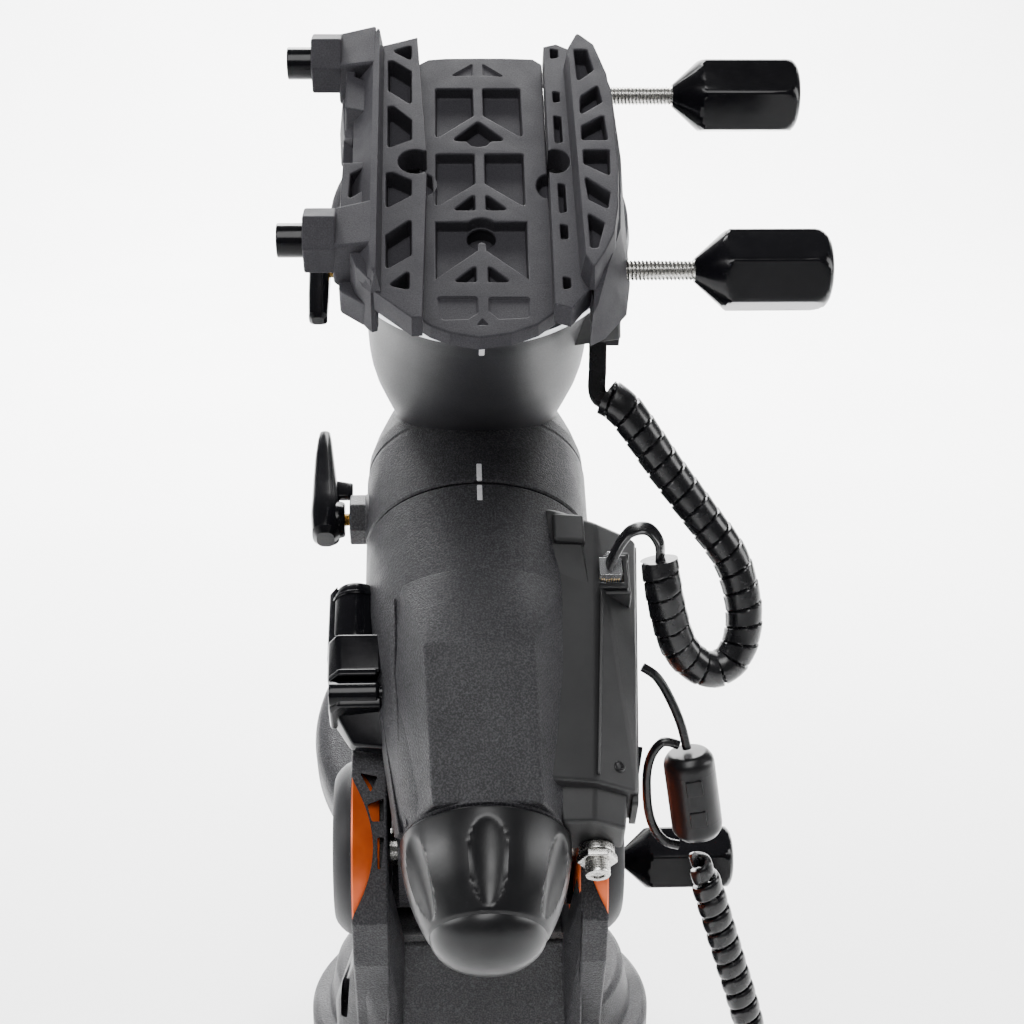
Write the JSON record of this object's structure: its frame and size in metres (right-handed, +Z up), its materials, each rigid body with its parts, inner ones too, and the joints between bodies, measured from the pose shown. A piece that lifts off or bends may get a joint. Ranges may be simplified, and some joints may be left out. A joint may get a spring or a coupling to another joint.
{
  "type": "equatorial mount",
  "caption": "Computer-driven equatorial telescope mount head with a dovetail saddle, counterweight bar, latitude fork and hand-control cord.",
  "frame": {"origin": "centre of the base's flat face that sits on the tripod", "axes": "+X to the right seen from the polar-cap side, +Y away from the polar cap towards the counterweight, +Z up"},
  "size_m": [0.226, 0.4749, 0.6061],
  "materials": {
    "black_cast": "fine textured satin paint",
    "black_anodised": "matt black anodised",
    "black_gloss_plastic": "gloss",
    "black_matt_plastic": "matt",
    "black_cord": "semi-gloss sheath",
    "orange_accent": "satin paint",
    "bright_steel": "bright",
    "brass": "polished",
    "aluminium": "satin",
    "circuit_board": "satin"
  },
  "bodies": {
    "base": {"base_casting": "black_cast", "pivot_axle": "bright_steel", "accent_disc_left": "orange_accent", "accent_disc_right": "orange_accent", "pivot_cap_left": "black_cast", "pivot_cap_right": "black_cast"},
    "altitude_lock": {"altitude_lock_knob": "black_gloss_plastic"},
    "altitude_adjuster": {"altitude_adjuster": "black_gloss_plastic"},
    "azimuth_adjuster_left": {"azimuth_adjuster_left": "black_gloss_plastic"},
    "azimuth_adjuster_right": {"azimuth_adjuster_right": "black_gloss_plastic"},
    "polar": {"ra_housing": "black_cast", "ra_bearing_upper": "bright_steel", "ra_bearing_lower": "bright_steel", "ra_motor": "bright_steel", "ra_motor_cover": "black_gloss_plastic", "electronics_box": "black_matt_plastic", "port_panel": "black_matt_plastic", "port_block": "black_matt_plastic", "circuit_board": "circuit_board", "panel_dec_port": "black_matt_plastic", "power_socket": "bright_steel", "dec_cable": "black_cord", "hand_cable": "black_cord", "ferrite_bead": "black_gloss_plastic", "ferrite_loop": "black_cord", "curly_cord": "black_cord", "hand_plug": "black_matt_plastic"},
    "ra_wheel": {"ra_worm_wheel": "brass"},
    "ra_worm": {"ra_worm": "bright_steel"},
    "power_switch": {"power_switch": "black_gloss_plastic"},
    "polar_cap": {"polar_cap": "black_gloss_plastic"},
    "head": {"head_casting": "black_cast", "ra_shaft": "aluminium", "polar_finder_tube": "black_matt_plastic", "dec_bearing_upper": "bright_steel", "dec_bearing_lower": "bright_steel", "dec_port": "black_matt_plastic", "dec_motor_cover": "black_gloss_plastic", "dec_motor": "bright_steel", "counterweight_bar": "bright_steel", "bar_lock_ring": "black_cast"},
    "ra_clutch": {"ra_clutch_screw": "brass", "ra_clutch_lever": "black_gloss_plastic"},
    "dec_clutch": {"dec_clutch_screw": "brass", "dec_clutch_lever": "black_gloss_plastic"},
    "dec_wheel": {"dec_worm_wheel": "brass"},
    "dec_worm": {"dec_worm": "bright_steel"},
    "saddle": {"saddle_plate": "black_anodised", "dec_shaft": "aluminium", "dec_setting_ring": "aluminium", "saddle_bolt": "bright_steel", "fixed_jaw": "black_anodised", "jaw_screw_upper": "black_gloss_plastic", "jaw_screw_lower": "black_gloss_plastic"},
    "jaw": {"moving_jaw": "black_anodised"},
    "knob_upper": {"jaw_knob_upper": "black_gloss_plastic"},
    "knob_lower": {"jaw_knob_lower": "black_gloss_plastic"},
    "counterweight": {"counterweight": "black_cast"},
    "counterweight_lock": {"counterweight_lock_knob": "black_gloss_plastic"},
    "safety_nut": {"safety_nut": "black_cast"}
  },
  "joints": [
    {"name": "altitude", "type": "hinge", "parent": "base", "child": "polar", "pos_m": [0, -0.035, 0.1105], "axis": [1, 0, 0], "range_deg": [-20, 30]},
    {"name": "altitude_lock_turn", "type": "hinge", "parent": "base", "child": "altitude_lock", "pos_m": [0, 0.04, 0.06], "axis": [1, 0, 0], "range_deg": [-180, 180]},
    {"name": "altitude_adjust_turn", "type": "hinge", "parent": "base", "child": "altitude_adjuster", "pos_m": [0, 0.08, 0.048], "axis": [0, 1, 0], "range_deg": [-1080, 1080]},
    {"name": "azimuth_adjust_left_turn", "type": "hinge", "parent": "base", "child": "azimuth_adjuster_left", "pos_m": [-0.024, 0.08, 0.026], "axis": [0, 1, 0], "range_deg": [-1080, 1080]},
    {"name": "azimuth_adjust_right_turn", "type": "hinge", "parent": "base", "child": "azimuth_adjuster_right", "pos_m": [0.024, 0.08, 0.026], "axis": [0, 1, 0], "range_deg": [-1080, 1080]},
    {"name": "ra", "type": "hinge", "parent": "polar", "child": "head", "pos_m": [0, 0.075, 0.26], "axis": [0, 0.8192, 0.5736], "range_deg": [-120, 120], "deforming": ["dec_cable"]},
    {"name": "ra_wheel_turn", "type": "hinge", "parent": "polar", "child": "ra_wheel", "pos_m": [0, 0.00619, 0.21182], "axis": [0, 0.8192, 0.5736], "continuous": true},
    {"name": "ra_worm_turn", "type": "hinge", "parent": "polar", "child": "ra_worm", "pos_m": [-0.0383, 0.00619, 0.21182], "axis": [0, -0.5736, 0.8192], "continuous": true},
    {"name": "power_rocker", "type": "hinge", "parent": "polar", "child": "power_switch", "pos_m": [0.05903, -0.06706, 0.16358], "axis": [0, -0.5736, 0.8192], "range_deg": [0, 7]},
    {"name": "cap_pull", "type": "slide", "parent": "polar", "child": "polar_cap", "axis": [0, -0.8192, -0.5736], "range_m": [0, 0.045]},
    {"name": "ra_clutch_turn", "type": "hinge", "parent": "head", "child": "ra_clutch", "pos_m": [-0.06, 0.0406, 0.23591], "axis": [-1, 0, 0], "range_deg": [-60, 0]},
    {"name": "dec_clutch_turn", "type": "hinge", "parent": "head", "child": "dec_clutch", "pos_m": [-0.06, 0.00732, 0.35666], "axis": [-1, 0, 0], "range_deg": [-45, 45]},
    {"name": "dec_wheel_turn", "type": "hinge", "parent": "head", "child": "dec_wheel", "pos_m": [0, 0.01879, 0.34028], "axis": [0, -0.5736, 0.8192], "continuous": true},
    {"name": "dec_worm_turn", "type": "hinge", "parent": "head", "child": "dec_worm", "pos_m": [0, 0.05016, 0.36224], "axis": [1, 0, 0], "continuous": true},
    {"name": "dec", "type": "hinge", "parent": "head", "child": "saddle", "pos_m": [0, -0.01104, 0.38287], "axis": [0, -0.5736, 0.8192], "continuous": true},
    {"name": "jaw_slide", "type": "slide", "parent": "saddle", "child": "jaw", "axis": [-1, 0, 0], "range_m": [0, 0.012]},
    {"name": "jaw_knob_upper_turn", "type": "hinge", "parent": "jaw", "child": "knob_upper", "pos_m": [0.1, 0.03377, 0.42523], "axis": [1, 0, 0], "range_deg": [-3460, 0]},
    {"name": "jaw_knob_lower_turn", "type": "hinge", "parent": "jaw", "child": "knob_lower", "pos_m": [0.1, -0.04897, 0.3673], "axis": [1, 0, 0], "range_deg": [-3460, 0]},
    {"name": "counterweight_slide", "type": "slide", "parent": "head", "child": "counterweight", "axis": [0, -0.5736, 0.8192], "range_m": [0, 0.1]},
    {"name": "counterweight_lock_turn", "type": "hinge", "parent": "counterweight", "child": "counterweight_lock", "pos_m": [0, 0.32125, 0.08267], "axis": [0, 0.8192, 0.5736], "range_deg": [-720, 720]},
    {"name": "safety_nut_turn", "type": "hinge", "parent": "head", "child": "safety_nut", "pos_m": [0, 0.27174, -0.02097], "axis": [0, -0.5736, 0.8192], "range_deg": [-1080, 1080]}
  ],
  "couplings": [
    {"joint": "jaw_knob_upper_turn", "follows": "jaw_slide", "rad_per_m": -5026.5},
    {"joint": "jaw_knob_lower_turn", "follows": "jaw_slide", "rad_per_m": -5026.5},
    {"joint": "ra_worm_turn", "follows": "ra_wheel_turn", "ratio": 120},
    {"joint": "dec_worm_turn", "follows": "dec_wheel_turn", "ratio": 120}
  ]
}
